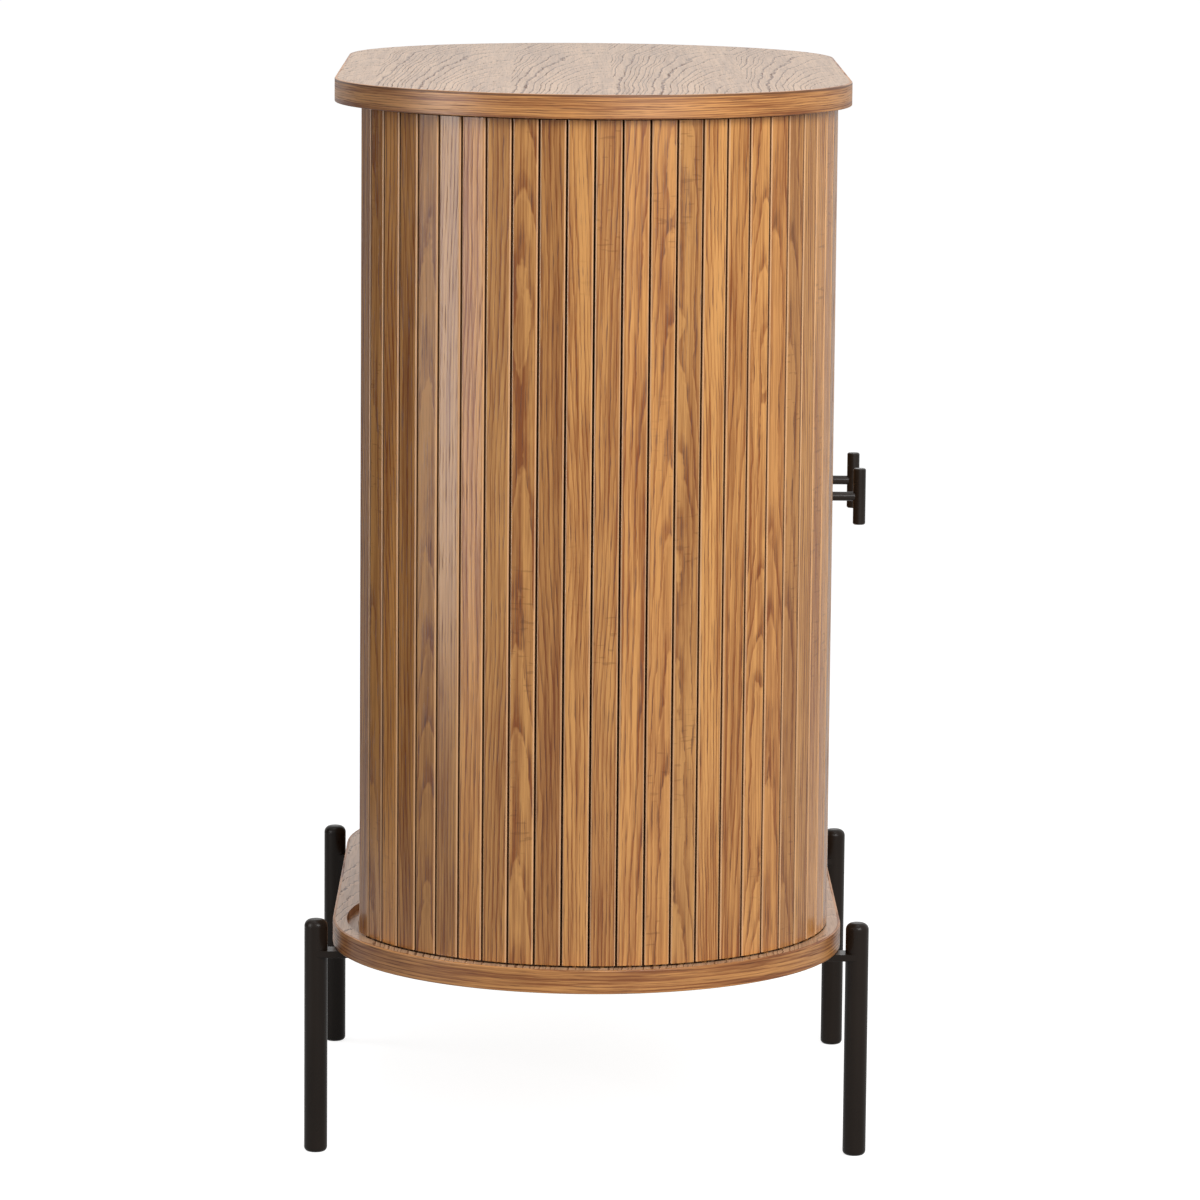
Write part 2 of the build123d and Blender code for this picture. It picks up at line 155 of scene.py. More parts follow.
class VeneerFinish(PropertyGroup):
    """Crown-cut oak veneer of the two boards."""

    light: colour_property("Light wood", "Colour of the late wood", tone(212, 174, 138))
    deep: colour_property("Deep wood", "Colour of the early wood", tone(118, 82, 58))
    pore: colour_property("Pores", "Colour inside the pores", tone(84, 56, 40))
    seams: FloatVectorProperty(
        name="Seams",
        description="Where the leaves of veneer meet, from the back to the front",
        default=(0.1850, 0.0700, -0.0165, -0.1300),
        size=4,
        unit="LENGTH",
    )
    ring_spacing: length_property("Ring spacing", "Width of one year's growth", 0.0052)
    pith_distance: length_property("Pith distance", "How far the heart lies under the face", 0.09)
    lean: share_property("Lean", "How fast the heart sinks along the leaf", 0.085)
    wander: length_property("Wander", "How far the rings stray from straight", 0.016)
    roughness: share_property("Roughness", "Roughness of the lacquer", 0.32)
    relief: share_property("Relief", "Strength of the open grain", 0.3)


class EdgingFinish(PropertyGroup):
    """Straight-grained oak edging round the boards."""

    light: colour_property("Light wood", "Colour of the late wood", tone(204, 144, 84))
    deep: colour_property("Deep wood", "Colour of the early wood", tone(130, 74, 34))
    pore: colour_property("Pores", "Colour inside the pores", tone(84, 46, 24))
    ring_spacing: length_property("Ring spacing", "Width of one year's growth", 0.0024)
    dark_top_line: share_property("Dark top line", "Strength of the dark line under the top face", 0.8)
    roughness: share_property("Roughness", "Roughness of the lacquer", 0.34)
    relief: share_property("Relief", "Strength of the open grain", 0.25)


class PanelFinish(PropertyGroup):
    """Plain oak veneer of the inside."""

    light: colour_property("Light wood", "Colour of the late wood", tone(204, 158, 112))
    deep: colour_property("Deep wood", "Colour of the early wood", tone(164, 112, 68))
    pore: colour_property("Pores", "Colour inside the pores", tone(104, 66, 38))
    leaf_width: length_property("Leaf width", "Width of one leaf of veneer", 0.12)
    ring_spacing: length_property("Ring spacing", "Width of one year's growth", 0.0026)
    roughness: share_property("Roughness", "Roughness of the lacquer", 0.42)
    relief: share_property("Relief", "Strength of the open grain", 0.2)


class SteelFinish(PropertyGroup):
    """Black paint of the legs and knobs, and the bare fasteners."""

    paint: colour_property("Paint", "Colour of the black paint", tone(33, 26, 21))
    paint_roughness: share_property("Paint roughness", "Roughness of the paint on the legs", 0.3)
    paint_shine: share_property("Paint shine", "How much the paint on the legs mirrors", 0.16)
    knob_roughness: share_property("Knob roughness", "Roughness of the paint on the knobs", 0.27)
    knob_shine: share_property("Knob shine", "How much the paint on the knobs mirrors", 0.26)
    screw: colour_property("Screws", "Colour of the plated screws", tone(186, 182, 170))
    screw_roughness: share_property("Screw roughness", "Roughness of the screws", 0.32)
    pin: colour_property("Pins", "Colour of the shelf pins", tone(196, 194, 188))
    pin_roughness: share_property("Pin roughness", "Roughness of the shelf pins", 0.25)


class ClothFinish(PropertyGroup):
    """Canvas behind the slats and felt on the leading slats."""

    # The canvas colour is partly its own and partly painted shade: it is kept dark to deepen the gaps
    # between the slats.
    canvas: colour_property("Canvas", "Colour of the canvas", tone(84, 62, 44))
    canvas_thread: length_property("Canvas thread", "Distance between two threads", 0.0012)
    felt: colour_property("Felt", "Colour of the felt", tone(58, 48, 40))


class StudioSettings(PropertyGroup):
    """Camera, lamps and surroundings."""

    camera_place: FloatVectorProperty(
        name="Camera place",
        description="Where the camera stands",
        default=(-5.2132, 0.0300, 1.2239),
        subtype="XYZ",
        unit="LENGTH",
    )
    camera_pitch: angle_property("Camera pitch", "How far the camera looks down", 0.14714)
    camera_yaw: angle_property("Camera yaw", "Turn from the length of the cabinet", -0.0078)
    camera_roll: angle_property("Camera roll", "Tilt of the picture", 0.00874)
    camera_lens: FloatProperty(
        name="Lens", description="Focal length in millimetres", default=177.44, min=1, unit="CAMERA"
    )
    key_power: share_property("Key power", "Watts of the large front lamp", 76.0, 1000)
    top_power: share_property("Top power", "Watts of the lamp overhead", 18.0, 1000)
    strip_power: share_property("Strip power", "Watts of the strip mirrored in the lacquer", 12.0, 1000)
    fill_power: share_property("Fill power", "Watts of the soft lamp behind the left corner", 8.0, 1000)
    sky_light: share_property("Sky light", "Strength of the even light", 0.3, 10)
    floor_bounce: share_property("Floor bounce", "How much light the floor sends back up", 0.3)


class NodeBench:
    """Adds nodes to a tree; a socket given as an input is linked, anything else is set."""

    def __init__(self, tree):
        self.tree = tree

    def put(self, kind, inputs=None, **settings):
        """One node of a kind, with its settings and inputs."""
        node = self.tree.nodes.new(kind)
        for name, value in settings.items():
            setattr(node, name, value)
        self.feed(node, inputs or {})
        return node

    def feed(self, node, inputs):
        """Links or sets a node's inputs."""
        for key, value in inputs.items():
            if isinstance(value, bpy.types.NodeSocket):
                self.tree.links.new(value, node.inputs[key])
            else:
                node.inputs[key].default_value = value

    def math(self, operation, *values, clamp=False):
        """Result of a math node."""
        node = self.put("ShaderNodeMath", dict(enumerate(values)), operation=operation)
        node.use_clamp = clamp
        return node.outputs[0]

    def total(self, *values):
        """Sum of the values."""
        result = values[0]
        for value in values[1:]:
            result = self.math("ADD", result, value)
        return result

    def product(self, *values):
        """Product of the values."""
        result = values[0]
        for value in values[1:]:
            result = self.math("MULTIPLY", result, value)
        return result

    def less(self, value, taken):
        """A value with another taken from it."""
        return self.math("SUBTRACT", value, taken)

    def centred(self, value):
        """A value from 0 to 1 moved down to lie on both sides of 0."""
        return self.less(value, 0.5)

    def distance(self, first, second):
        """Distance over two directions at right angles."""
        squares = [self.math("POWER", side, 2.0) for side in (first, second)]
        return self.math("SQRT", self.total(*squares))

    def vector_math(self, operation, *values):
        """Vector result of a vector math node."""
        node = self.put("ShaderNodeVectorMath", dict(enumerate(values)), operation=operation)
        return node.outputs[0]

    def split(self, vector):
        """The three parts of a vector."""
        return self.put("ShaderNodeSeparateXYZ", {0: vector}).outputs

    def join(self, x, y, z):
        """A vector from its three parts."""
        return self.put("ShaderNodeCombineXYZ", {0: x, 1: y, 2: z}).outputs[0]

    def noise(self, vector, scale, detail=2.0, roughness=0.5):
        """Value of a noise stretched by a scale for each direction."""
        stretched = self.vector_math("MULTIPLY", vector, scale)
        inputs = {"Vector": stretched, "Scale": 1.0, "Detail": detail, "Roughness": roughness}
        return self.put("ShaderNodeTexNoise", inputs).outputs["Fac"]

    def chance(self, seed):
        """Colour drawn at random for a seed."""
        node = self.put("ShaderNodeTexWhiteNoise", {"W": seed}, noise_dimensions="1D")
        return node.outputs["Color"]

    def fade(self, value, low, high, start=0.0, end=1.0):
        """Smooth change from start to end while a value goes from low to high."""
        inputs = {"Value": value, "From Min": low, "From Max": high, "To Min": start, "To Max": end}
        node = self.put("ShaderNodeMapRange", inputs, interpolation_type="SMOOTHSTEP")
        return node.outputs["Result"]

    def mix(self, factor, first, second, blend="MIX"):
        """Mixed colour."""
        colours = [c if isinstance(c, bpy.types.NodeSocket) else opaque(c) for c in (first, second)]
        inputs = {0: factor, 6: colours[0], 7: colours[1]}
        return self.put("ShaderNodeMix", inputs, data_type="RGBA", blend_type=blend).outputs[2]


def new_group(name, inputs, outputs):
    """Empty node group with named sockets, and its bench, input sockets and output node."""
    group = bpy.data.node_groups.new(name, "ShaderNodeTree")
    for socket_name, kind, default in inputs:
        socket = group.interface.new_socket(socket_name, in_out="INPUT", socket_type=kind)
        if default is not None:
            socket.default_value = default
    for socket_name, kind in outputs:
        group.interface.new_socket(socket_name, in_out="OUTPUT", socket_type=kind)
    bench = NodeBench(group)
    given = bench.put("NodeGroupInput").outputs
    return group, bench, given, bench.put("NodeGroupOutput")


def round_the_plan(bench, x, y):
    """A point's reach along X, how far it is past the end's centre, and its turn and radius there."""
    reach = bench.math("ABSOLUTE", x)
    past = bench.math("MAXIMUM", bench.less(reach, END_CENTRE), 0.0)
    turn = bench.math("ARCTAN2", past, bench.product(y, -1.0))
    return reach, past, turn, bench.distance(past, y)


def door_strip_group():
    """Splits the doors into slats: a board vector (across, depth, along) and a seed for each slat."""
    group, bench, given, result = new_group(
        "Door strip",
        [("Vector", "NodeSocketVector", None)],
        [("Board", "NodeSocketVector"), ("Seed", "NodeSocketFloat")],
    )
    x, y, z = bench.split(given["Vector"])
    reach, past, turn, radius = round_the_plan(bench, x, y)
    straight = bench.math("MINIMUM", reach, END_CENTRE)
    run = bench.total(straight, bench.product(turn, SLAT_BACK))
    count = bench.math("DIVIDE", bench.less(run, MEETING_GAP), SLAT_PITCH)
    on_end = bench.math("GREATER_THAN", past, 0.0)
    spread = bench.less(bench.math("DIVIDE", radius, SLAT_BACK), 1.0)
    widening = bench.total(bench.product(on_end, spread), 1.0)
    share = bench.centred(bench.math("FRACT", count))
    across = bench.product(share, SLAT_PITCH, widening)
    depth = bench.less(radius, SLAT_FACE)
    on_right = bench.math("GREATER_THAN", x, 0.0)
    seed = bench.total(bench.math("FLOOR", count), bench.product(on_right, RIGHT_DOOR_SEED))
    bench.feed(result, {"Board": bench.join(across, depth, z), "Seed": seed})
    return group


def rim_strip_group():
    """Board vector along a board's rim: across is up, depth is outwards and along is the run."""
    group, bench, given, result = new_group(
        "Rim strip", [("Vector", "NodeSocketVector", None)], [("Board", "NodeSocketVector")]
    )
    x, y, z = bench.split(given["Vector"])
    reach, past, turn, radius = round_the_plan(bench, x, y)
    end_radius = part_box("top_edging")[1].y
    ahead = bench.math("MINIMUM", reach, END_CENTRE)
    at_back = bench.math("GREATER_THAN", y, 0.0)
    behind = bench.product(bench.less(END_CENTRE, ahead), 2.0, at_back)
    run = bench.total(ahead, behind, bench.product(turn, end_radius))
    along = bench.product(run, bench.math("SIGN", x))
    bench.feed(result, {"Board": bench.join(z, bench.less(radius, end_radius), along)})
    return group


def heart_distance(bench, given, place, picks):
    """How far a point lies to the side of the log's heart, and its distance from it."""
    wander = bench.product(given["Wander"], 2.0)
    bend = bench.product(bench.centred(bench.noise(place, SLOW_BEND, 1.0)), wander)
    sink = bench.product(bench.centred(bench.noise(place, SLOW_SINK, 1.0)), wander)
    across, depth, along = bench.split(given["Board"])
    pith_across = bench.product(bench.centred(picks[0]), given["Pith Spread"])
    pith_depth = bench.product(bench.total(picks[1], 0.3), given["Pith Distance"])
    beside = bench.total(bench.less(across, pith_across), bend)
    below = bench.total(depth, pith_depth, bench.product(along, given["Lean"]), sink)
    return beside, bench.distance(beside, below)


def ring_position(bench, given, place, rings, pick):
    """Where a point lies in its year's ring, from 0 at one line to 1 at the next."""
    growth = {"W": bench.product(rings, YEARLY_CHANGE), "Scale": 1.0, "Detail": 1.0}
    years = bench.put("ShaderNodeTexNoise", growth, noise_dimensions="1D").outputs["Fac"]
    drift = bench.product(bench.centred(years), given["Ring Drift"])
    quick = bench.product(bench.centred(bench.noise(place, QUICK_BEND)), 2.2 * MILLIMETRE)
    ragged = bench.product(bench.centred(bench.noise(place, RAGGED_EDGE, 1.0)), given["Ragged"])
    grown = bench.total(rings, bench.total(quick, ragged), drift)
    spacing = bench.product(given["Ring Spacing"], bench.total(bench.product(pick, 0.7), 0.65))
    return bench.math("FRACT", bench.math("DIVIDE", grown, spacing))


def ring_pattern(bench, given, place, picks):
    """Masks of the year rings: the porous early wood and the pale late wood."""
    beside, rings = heart_distance(bench, given, place, picks)
    phase = ring_position(bench, given, place, rings, picks[2])
    steep = bench.math("ABSOLUTE", bench.math("DIVIDE", beside, rings))
    shallow = bench.less(1.0, bench.math("MAXIMUM", steep, 0.15))
    narrowing = bench.less(1.0, bench.product(shallow, given["Thinning"]))
    line_width = bench.product(given["Line Width"], narrowing)
    line_start = bench.less(1.0, bench.product(narrowing, 0.08))
    fading = bench.fade(phase, 0.0, line_width, 1.0, 0.0)
    early = bench.math("MAXIMUM", fading, bench.fade(phase, line_start, 1.0))
    from_late = bench.math("ABSOLUTE", bench.less(phase, LATE_WOOD))
    late = bench.fade(from_late, LATE_HALF_WIDTH, 0.0)
    return early, late


def pore_mask(bench, place, early):
    """Pores along the grain, thickest in the early wood."""
    room = bench.total(bench.product(early, 0.8), 0.2)
    return bench.product(bench.fade(bench.noise(place, PORE, 1.0), 0.53, 0.64), room)


def ray_mask(bench, place, pick, strength):
    """Short marks across the grain, in patches on a few of the boards."""
    marks = bench.fade(bench.noise(place, RAY_MARK, 1.0), 0.62, 0.7)
    patches = bench.fade(bench.noise(place, RAY_PATCH, 0.0), 0.5, 0.62)
    boards = bench.fade(pick, 0.6, 0.75)
    return bench.product(bench.product(marks, patches), bench.product(boards, strength))


def wood_colour(bench, given, place, early, late):
    """Light and deep wood mixed by the rings, the streaks and the broad changes of tone."""
    fibre = bench.centred(bench.noise(place, FIBRE, 2.0, 0.6))
    band = bench.centred(bench.noise(place, BAND))
    mottle = bench.centred(bench.noise(place, MOTTLE))
    ring_share = bench.product(early, given["Ring Contrast"])
    streak_share = bench.product(bench.total(fibre, band), given["Streak"])
    dark_share = bench.total(ring_share, streak_share, bench.product(mottle, 0.9))
    pale_share = bench.product(late, bench.product(given["Ring Contrast"], 0.3))
    share = bench.math("ADD", bench.less(dark_share, pale_share), 0.26, clamp=True)
    return bench.mix(share, given["Light"], given["Deep"])


def board_tint(bench, tone_spread, level_pick, warmth_pick):
    """Factor that sets one board off from the next in lightness and warmth."""
    lift = bench.total(bench.product(bench.centred(level_pick), tone_spread), 1.0)
    warm = bench.product(bench.centred(warmth_pick), bench.product(tone_spread, 0.35))
    return bench.join(lift, bench.less(lift, bench.product(warm, 0.5)), bench.less(lift, warm))


def oak_grain_group():
    """Oak on a board whose grain runs along Z: year rings, pores, streaks and ray marks."""
    group, bench, given, result = new_group(
        "Oak grain",
        [
            ("Board", "NodeSocketVector", None),
            ("Seed", "NodeSocketFloat", 0.0),
            ("Ring Spacing", "NodeSocketFloat", 0.0022),
            ("Pith Distance", "NodeSocketFloat", 0.05),
            ("Pith Spread", "NodeSocketFloat", 0.12),
            ("Lean", "NodeSocketFloat", 0.02),
            ("Wander", "NodeSocketFloat", 0.006),
            ("Line Width", "NodeSocketFloat", 0.5),
            ("Thinning", "NodeSocketFloat", 0.0),
            ("Ring Drift", "NodeSocketFloat", 0.003),
            ("Ragged", "NodeSocketFloat", 0.0004),
            ("Tone Spread", "NodeSocketFloat", 0.4),
            ("Ring Contrast", "NodeSocketFloat", 0.45),
            ("Streak", "NodeSocketFloat", 1.7),
            ("Fleck", "NodeSocketFloat", 0.0),
            ("Light", "NodeSocketColor", None),
            ("Deep", "NodeSocketColor", None),
            ("Pore", "NodeSocketColor", None),
        ],
        [("Color", "NodeSocketColor"), ("Gloss", "NodeSocketFloat"), ("Height", "NodeSocketFloat")],
    )
    chance = bench.chance(given["Seed"])
    other = bench.chance(bench.total(given["Seed"], SECOND_DRAW))
    shift = bench.vector_math("SCALE", chance)
    shift.node.inputs["Scale"].default_value = BOARD_SHIFT
    place = bench.vector_math("ADD", given["Board"], shift)
    level_pick, warmth_pick, ray_pick = bench.split(chance)
    early, late = ring_pattern(bench, given, place, bench.split(other))
    pores = pore_mask(bench, place, early)
    rays = ray_mask(bench, place, ray_pick, given["Fleck"])
    wood = wood_colour(bench, given, place, early, late)
    tint = board_tint(bench, given["Tone Spread"], level_pick, warmth_pick)
    toned = bench.mix(1.0, wood, tint, "MULTIPLY")
    rayed = bench.mix(bench.product(rays, 0.55), toned, given["Pore"])
    pored = bench.mix(bench.product(pores, 0.7), rayed, given["Pore"])
    gloss = bench.total(bench.product(pores, 0.25), bench.product(early, 0.06))
    hollow = bench.total(bench.product(pores, 0.7), bench.product(early, 0.3))
    bench.feed(result, {"Color": pored, "Gloss": gloss, "Height": bench.less(1.0, hollow)})
    return group


def shared_group(name, build):
    """Node group of that name, built the first time it is asked for."""
    return bpy.data.node_groups.get(name) or build()


def new_material(name):
    """Empty material with its bench, object coordinates and shader."""
    material = bpy.data.materials.new(name)
    material.use_nodes = True
    bench = NodeBench(material.node_tree)
    material.node_tree.nodes.clear()
    shader = bench.put("ShaderNodeBsdfPrincipled")
    output = bench.put("ShaderNodeOutputMaterial")
    bench.tree.links.new(shader.outputs["BSDF"], output.inputs["Surface"])
    coordinates = bench.put("ShaderNodeTexCoord").outputs["Object"]
    return material, bench, coordinates, shader


def put_group(bench, name, build, inputs):
    """Shared group placed in a material, and its outputs."""
    node = bench.put("ShaderNodeGroup", node_tree=shared_group(name, build))
    bench.feed(node, inputs)
    return node.outputs


def bumped(bench, height, strength, distance):
    """Normal of a surface with a fine relief."""
    inputs = {"Strength": strength, "Distance": distance, "Height": height}
    return bench.put("ShaderNodeBump", inputs).outputs["Normal"]


def finish_wood(bench, shader, grain, finish, colour=None):
    """Connects a grain's colour, gloss and height to the shader."""
    bench.feed(shader, {
        "Base Color": colour or grain["Color"],
        "Roughness": bench.total(grain["Gloss"], finish.roughness),
        "Normal": bumped(bench, grain["Height"], finish.relief, 0.15 * MILLIMETRE),
        "IOR": 1.46,
    })


def slat_material(finish):
    """Solid oak, each slat its own piece of wood."""
    material, bench, coordinates, shader = new_material("oak_slats")
    strip = put_group(bench, "Door strip", door_strip_group, {"Vector": coordinates})
    grain = put_group(bench, "Oak grain", oak_grain_group, {
        "Board": strip["Board"],
        "Seed": bench.total(strip["Seed"], finish.batch),
        "Ring Spacing": finish.ring_spacing,
        "Pith Distance": finish.pith_distance,
        "Wander": finish.wander,
        "Tone Spread": finish.tone_spread,
        "Fleck": finish.fleck,
        "Light": opaque(finish.light),
        "Deep": opaque(finish.deep),
        "Pore": opaque(finish.pore),
    })
    across, depth, _ = bench.split(strip["Board"])
    reach = bench.math("ABSOLUTE", across)
    side = SLAT_WIDTH / 2
    # The eased edges are made paler: partly wear, partly a painted highlight for the light the rounded
    # edges catch.
    rim = bench.fade(reach, side - 1.5 * MILLIMETRE, side - 0.7 * MILLIMETRE)
    worn_and_highlit = bench.mix(bench.product(rim, finish.edge_wear_and_highlight), grain["Color"], finish.rubbed_and_highlit)
    # Painted shade: the slat sides below the face, in the gaps, are darkened towards the gap shade
    # colour.
    beside = bench.fade(reach, side - 0.7 * MILLIMETRE, side - 0.3 * MILLIMETRE)
    sunk = bench.fade(depth, -0.35 * MILLIMETRE, -1.0 * MILLIMETRE)
    shaded = bench.mix(bench.product(beside, sunk, 0.9), worn_and_highlit, finish.gap_shade)
    finish_wood(bench, shader, grain, finish, shaded)
    return material


def leaf_coordinates(bench, across, depth, along, width):
    """Board vector and number for leaves of veneer laid side by side."""
    count = bench.math("DIVIDE", across, width)
    inside = bench.product(bench.centred(bench.math("FRACT", count)), width)
    return bench.join(inside, depth, along), bench.math("FLOOR", count)


def veneer_material(finish):
    """Crown-cut veneer in leaves from one log, with its grain along the cabinet."""
    material, bench, coordinates, shader = new_material("oak_veneer")
    x, y, _ = bench.split(coordinates)
    ends = (*finish.seams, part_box("top_panel")[0].y)
    right_end, number = ends[0], 0.0
    for seam, following in zip(ends, ends[1:]):
        beyond = bench.math("LESS_THAN", y, seam)
        right_end = bench.total(bench.product(beyond, following - seam), right_end)
        number = bench.total(beyond, number)
    slice_depth = bench.product(number, 0.6 * MILLIMETRE)
    grain = put_group(bench, "Oak grain", oak_grain_group, {
        "Board": bench.join(bench.less(y, right_end), slice_depth, x),
        "Seed": VENEER_SEED,
        "Ring Spacing": finish.ring_spacing,
        "Pith Distance": finish.pith_distance,
        "Pith Spread": 0.02,
        "Lean": finish.lean,
        "Wander": finish.wander,
        "Line Width": 0.28,
        "Thinning": 1.0,
        "Ring Drift": 0.018,
        "Ragged": 0.0022,
        "Tone Spread": 0.12,
        "Ring Contrast": 1.3,
        "Streak": 0.7,
        "Light": opaque(finish.light),
        "Deep": opaque(finish.deep),
        "Pore": opaque(finish.pore),
    })
    finish_wood(bench, shader, grain, finish)
    return material


def edging_material(finish):
    """Edging with its grain round the rim."""
    material, bench, coordinates, shader = new_material("oak_edging")
    board = put_group(bench, "Rim strip", rim_strip_group, {"Vector": coordinates})["Board"]
    z = bench.split(coordinates)[2]
    is_top = bench.math("GREATER_THAN", z, TOP_HEIGHT / 2)
    grain = put_group(bench, "Oak grain", oak_grain_group, {
        "Board": board,
        "Seed": bench.total(is_top, EDGING_SEED),
        "Ring Spacing": finish.ring_spacing,
        "Pith Distance": 0.08,
        "Pith Spread": 0.02,
        "Wander": 0.006,
        "Tone Spread": 0.1,
        "Streak": 2.3,
        "Light": opaque(finish.light),
        "Deep": opaque(finish.deep),
        "Pore": opaque(finish.pore),
    })
    # A thin band of the edging just under the top face is darkened towards the pore colour.
    below_top = bench.less(TOP_HEIGHT, z)
    line_high = bench.fade(below_top, 0.1 * MILLIMETRE, 0.45 * MILLIMETRE)
    line_low = bench.fade(below_top, 2.3 * MILLIMETRE, 1.5 * MILLIMETRE)
    line = bench.product(line_high, line_low, finish.dark_top_line)
    lined = bench.mix(line, grain["Color"], finish.pore)
    finish_wood(bench, shader, grain, finish, lined)
    return material


def panel_material(name, finish, order, seed):
    """Plain veneer of the inside; order says which of X, Y and Z are across, depth and along."""
    material, bench, coordinates, shader = new_material(name)
    parts = bench.split(coordinates)
    across, depth, along = (parts["XYZ".index(letter)] for letter in order)
    board, number = leaf_coordinates(bench, across, depth, along, finish.leaf_width)
    grain = put_group(bench, "Oak grain", oak_grain_group, {
        "Board": board,
        "Seed": bench.total(number, seed),
        "Ring Spacing": finish.ring_spacing,
        "Pith Distance": 0.06,
        "Pith Spread": 0.1,
        "Wander": 0.008,
        "Tone Spread": 0.12,
        "Light": opaque(finish.light),
        "Deep": opaque(finish.deep),
        "Pore": opaque(finish.pore),
    })
    finish_wood(bench, shader, grain, finish)
    return material


def shades(colour, *factors):
    """A colour made darker or lighter by each factor."""
    return [[part * factor for part in colour] for factor in factors]


def paint_material(name, colour, roughness, shine):
    """Satin black paint with a faint orange peel and uneven gloss."""
    material, bench, coordinates, shader = new_material(name)
    peel = bench.noise(coordinates, (900.0, 900.0, 900.0))
    haze = bench.noise(coordinates, (30.0, 30.0, 12.0), 3.0)
    bench.feed(shader, {
        "Base Color": bench.mix(haze, *shades(colour, 0.75, 1.35)),
        "Roughness": bench.fade(haze, 0.3, 0.7, roughness - 0.05, roughness + 0.06),
        "Normal": bumped(bench, peel, 0.12, 0.2 * MILLIMETRE),
        "Specular IOR Level": shine,
    })
    return material


def metal_material(name, colour, roughness):
    """Plated metal with fine turning marks and slight stains."""
    material, bench, coordinates, shader = new_material(name)
    marks = bench.noise(coordinates, (2500.0, 2500.0, 2500.0))
    stain = bench.noise(coordinates, (220.0, 220.0, 220.0), 3.0)
    bench.feed(shader, {
        "Base Color": bench.mix(bench.fade(stain, 0.35, 0.75), *shades(colour, 1.0, 0.6)),
        "Roughness": bench.fade(stain, 0.3, 0.7, roughness, roughness + 0.15),
        "Normal": bumped(bench, marks, 0.1, 0.1 * MILLIMETRE),
        "Metallic": 1.0,
    })
    return material


def canvas_material(finish):
    """Plain-woven canvas, threads up and round the door."""
    material, bench, coordinates, shader = new_material("canvas")
    board = put_group(bench, "Door strip", door_strip_group, {"Vector": coordinates})["Board"]
    across, _, along = bench.split(board)
    turn = math.tau / finish.canvas_thread
    waves = [bench.math("SINE", bench.product(part, turn)) for part in (along, across)]
    weave = bench.product(*waves)
    slub = bench.noise(coordinates, (60.0, 60.0, 400.0), 3.0)
    share = bench.math("ADD", bench.product(weave, 0.2), slub, clamp=True)
    bench.feed(shader, {
        "Base Color": bench.mix(share, *shades(finish.canvas, 0.7, 1.2)),
        "Roughness": 0.9,
        "Normal": bumped(bench, weave, 0.5, 0.3 * MILLIMETRE),
    })
    return material


def felt_material(finish):
    """Pressed felt with loose fibres."""
    material, bench, coordinates, shader = new_material("felt")
    fibres = bench.noise(coordinates, (1600.0, 1600.0, 1600.0), 4.0, 0.7)
    bench.feed(shader, {
        "Base Color": bench.mix(fibres, *shades(finish.felt, 0.5, 1.6)),
        "Roughness": 0.95,
        "Normal": bumped(bench, fibres, 0.7, 0.4 * MILLIMETRE),
    })
    return material


def dress(names, material):
    """Gives CAD nodes a material."""
    for name in names:
        node = frame["nodes"][name]
        if not node.material_slots:
            node.data.materials.append(material)
        for slot in node.material_slots:
            slot.material = material


class CABINET_OT_slats(Operator):
    """Finish the slats of both doors"""

    bl_idname = "cabinet.slats"
    bl_label = "Door slats"

    def execute(self, context):
        material = slat_material(context.scene.cabinet_slats)
        names = [f"{side}_slat_{number}" for side in SIDES for number in FRONT_SLATS]
        dress(names + [f"{side}_end_slats" for side in SIDES], material)
        return {"FINISHED"}


class CABINET_OT_boards(Operator):
    """Finish the top and bottom boards"""

    bl_idname = "cabinet.boards"
    bl_label = "Top and bottom boards"

    def execute(self, context):
        dress(["top_panel", "bottom_panel"], veneer_material(context.scene.cabinet_veneer))
        return {"FINISHED"}


class CABINET_OT_edgings(Operator):
    """Finish the edgings round the boards"""

    bl_idname = "cabinet.edgings"
    bl_label = "Board edgings"

    def execute(self, context):
        dress(["top_edging", "bottom_edging"], edging_material(context.scene.cabinet_edging))
        return {"FINISHED"}


class CABINET_OT_inside(Operator):
    """Finish the uprights, back panel, shelf and track stops"""

    bl_idname = "cabinet.inside"
    bl_label = "Inside panels"

    def execute(self, context):
        finish = context.scene.cabinet_panels
        upright_veneer = panel_material("upright_veneer", finish, "YXZ", UPRIGHT_SEED)
        stop_wood = panel_material("stop_wood", finish, "XYZ", STOP_SEED)
        dress([f"{side}_upright" for side in SIDES], upright_veneer)
        dress(["back_panel"], panel_material("back_veneer", finish, "XYZ", BACK_SEED))
        dress(["shelf"], panel_material("shelf_veneer", finish, "YZX", SHELF_SEED))
        dress([f"{side}_track_stops" for side in SIDES], stop_wood)
        return {"FINISHED"}


class CABINET_OT_door_cloth(Operator):
    """Finish the canvas behind the slats and the felt between the doors"""

    bl_idname = "cabinet.door_cloth"
    bl_label = "Canvas and felt"

    def execute(self, context):
        finish = context.scene.cabinet_cloth
        dress([f"{side}_canvas" for side in SIDES], canvas_material(finish))
        dress([f"{side}_lead_felt" for side in SIDES], felt_material(finish))
        return {"FINISHED"}


class CABINET_OT_legs(Operator):
    """Paint the legs and the bars that carry them"""

    bl_idname = "cabinet.legs"
    bl_label = "Legs and bars"

    def execute(self, context):
        finish = context.scene.cabinet_steel
        gloss = (finish.paint_roughness, finish.paint_shine)
        material = paint_material("black_steel", finish.paint, *gloss)
        legs = [f"leg_{depth}_{side}" for depth in ("front", "back") for side in SIDES]
        dress(legs + [f"{side}_leg_bar" for side in SIDES], material)
        return {"FINISHED"}


class CABINET_OT_knobs(Operator):
    """Paint the knobs"""

    bl_idname = "cabinet.knobs"
    bl_label = "Knobs"

    def execute(self, context):
        finish = context.scene.cabinet_steel
        gloss = (finish.knob_roughness, finish.knob_shine)
        material = paint_material("black_knob", finish.paint, *gloss)
        dress([f"{side}_knob_{part}" for side in SIDES for part in ("bar", "stem")], material)
        return {"FINISHED"}


